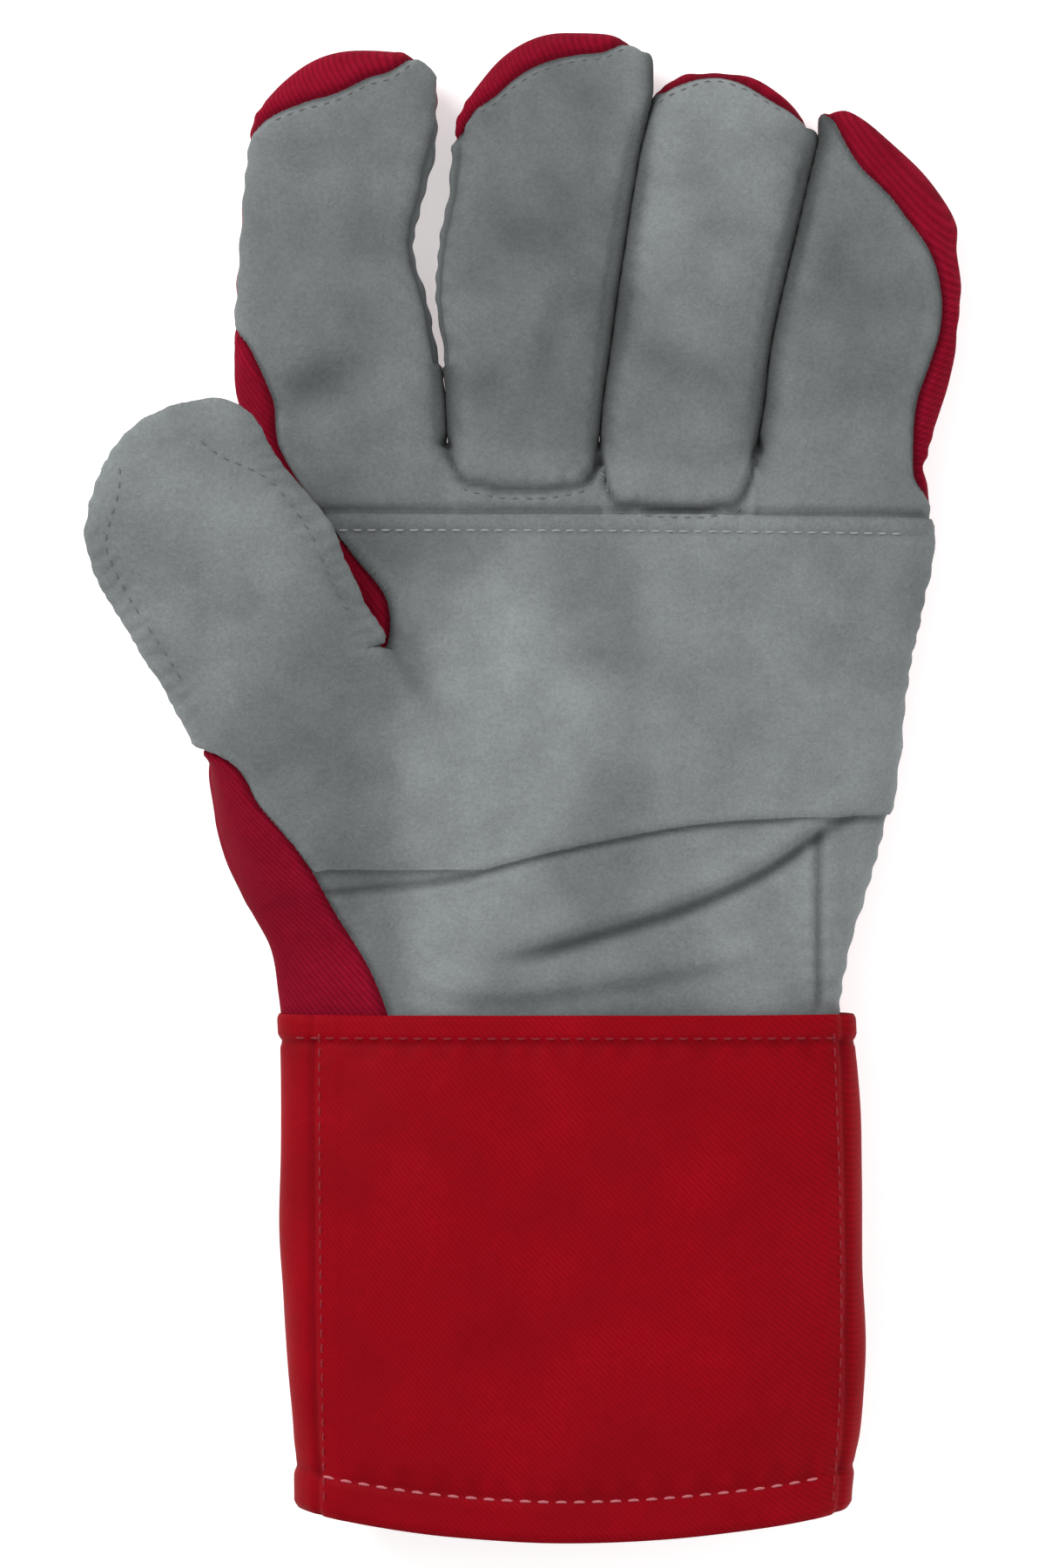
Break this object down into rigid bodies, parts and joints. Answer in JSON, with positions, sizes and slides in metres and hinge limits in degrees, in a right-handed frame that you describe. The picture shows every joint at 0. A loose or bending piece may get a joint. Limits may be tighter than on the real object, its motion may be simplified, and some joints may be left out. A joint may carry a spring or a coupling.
{
  "type": "leather palm work glove",
  "caption": "Left-hand split-leather work glove with a fabric back, a palm patch and an open gauntlet cuff, lying palm up.",
  "frame": {"origin": "under the middle of the bounding box, on the floor the glove lies on", "axes": "+Y from the cuff to the fingertips, +X from the thumb side to the little finger, +Z out of the palm"},
  "size_m": [0.1903, 0.3268, 0.0441],
  "materials": {
    "grey_leather": "napped split suede",
    "patch_leather": "napped split suede, a second layer",
    "back_fabric": "woven cotton drill",
    "cuff_fabric": "rubberised cotton",
    "lining_fabric": "soft cotton",
    "thread": "twisted sewing thread",
    "elastic": "woven elastic"
  },
  "bodies": {
    "hand": {"palm_leather": "grey_leather", "hand_back": "back_fabric", "thumb_root": "grey_leather", "palm_patch": "patch_leather", "palm_patch_thread": "thread", "palm_lining": "lining_fabric", "knuckle_strap": "grey_leather", "wrist_elastic": "elastic", "index_root_palm_side": "grey_leather", "index_root_back": "back_fabric", "index_root_gusset": "grey_leather", "middle_root_palm_side": "grey_leather", "middle_root_back": "back_fabric", "middle_root_gusset": "grey_leather", "ring_root_palm_side": "grey_leather", "ring_root_back": "back_fabric", "ring_root_gusset": "grey_leather", "little_root_palm_side": "grey_leather", "little_root_back": "back_fabric", "little_root_gusset": "grey_leather"},
    "cuff": {"wrist_leather": "grey_leather", "wrist_back": "back_fabric", "cuff_front": "cuff_fabric", "cuff_back": "cuff_fabric", "cuff_hem": "cuff_fabric", "cuff_hem_thread": "thread"},
    "index_shaft": {"index_shaft_palm_side": "grey_leather", "index_shaft_back": "back_fabric", "index_shaft_gusset": "grey_leather"},
    "index_tip": {"index_tip_palm_side": "grey_leather", "index_tip_back": "back_fabric", "index_tip_gusset": "grey_leather"},
    "middle_shaft": {"middle_shaft_palm_side": "grey_leather", "middle_shaft_back": "back_fabric", "middle_shaft_gusset": "grey_leather"},
    "middle_tip": {"middle_tip_palm_side": "grey_leather", "middle_tip_back": "back_fabric", "middle_tip_gusset": "grey_leather"},
    "ring_shaft": {"ring_shaft_palm_side": "grey_leather", "ring_shaft_back": "back_fabric", "ring_shaft_gusset": "grey_leather"},
    "ring_tip": {"ring_tip_palm_side": "grey_leather", "ring_tip_back": "back_fabric", "ring_tip_gusset": "grey_leather"},
    "little_shaft": {"little_shaft_palm_side": "grey_leather", "little_shaft_back": "back_fabric", "little_shaft_gusset": "grey_leather"},
    "little_tip": {"little_tip_palm_side": "grey_leather", "little_tip_back": "back_fabric", "little_tip_gusset": "grey_leather"},
    "thumb_shaft": {"thumb_shaft_palm_side": "grey_leather", "thumb_shaft_back": "grey_leather"},
    "thumb_tip": {"thumb_tip_palm_side": "grey_leather", "thumb_tip_back": "grey_leather"}
  },
  "joints": [
    {"name": "wrist_fold", "type": "hinge", "parent": "hand", "child": "cuff", "pos_m": [0, -0.038, 0.015], "axis": [-1, 0, 0], "range_deg": [-35, 45]},
    {"name": "index_base_fold", "type": "hinge", "parent": "hand", "child": "index_shaft", "pos_m": [-0.04077, 0.09, 0.01], "axis": [1, 0, 0], "range_deg": [-10, 70]},
    {"name": "index_middle_fold", "type": "hinge", "parent": "index_shaft", "child": "index_tip", "pos_m": [-0.04226, 0.122, 0.01], "axis": [1, 0, 0], "range_deg": [-5, 80]},
    {"name": "middle_base_fold", "type": "hinge", "parent": "hand", "child": "middle_shaft", "pos_m": [-0.00044, 0.09, 0.01], "axis": [1, 0, 0], "range_deg": [-10, 70]},
    {"name": "middle_middle_fold", "type": "hinge", "parent": "middle_shaft", "child": "middle_tip", "pos_m": [0.00235, 0.124, 0.01], "axis": [1, 0, 0], "range_deg": [-5, 80]},
    {"name": "ring_base_fold", "type": "hinge", "parent": "hand", "child": "ring_shaft", "pos_m": [0.03567, 0.09, 0.01], "axis": [1, 0, 0], "range_deg": [-10, 70]},
    {"name": "ring_middle_fold", "type": "hinge", "parent": "ring_shaft", "child": "ring_tip", "pos_m": [0.04086, 0.121, 0.01], "axis": [1, 0, 0], "range_deg": [-5, 80]},
    {"name": "little_base_fold", "type": "hinge", "parent": "hand", "child": "little_shaft", "pos_m": [0.07367, 0.09, 0.01], "axis": [1, 0, 0], "range_deg": [-10, 70]},
    {"name": "little_middle_fold", "type": "hinge", "parent": "little_shaft", "child": "little_tip", "pos_m": [0.07636, 0.117, 0.01], "axis": [1, 0, 0], "range_deg": [-5, 80]},
    {"name": "thumb_base_fold", "type": "hinge", "parent": "hand", "child": "thumb_shaft", "pos_m": [-0.061, 0.036, 0.031], "axis": [0.9252, 0.3795, 0], "range_deg": [0, 40]},
    {"name": "thumb_tip_fold", "type": "hinge", "parent": "thumb_shaft", "child": "thumb_tip", "pos_m": [-0.06922, 0.05604, 0.03482], "axis": [0.9252, 0.3795, 0], "range_deg": [-5, 50]}
  ]
}
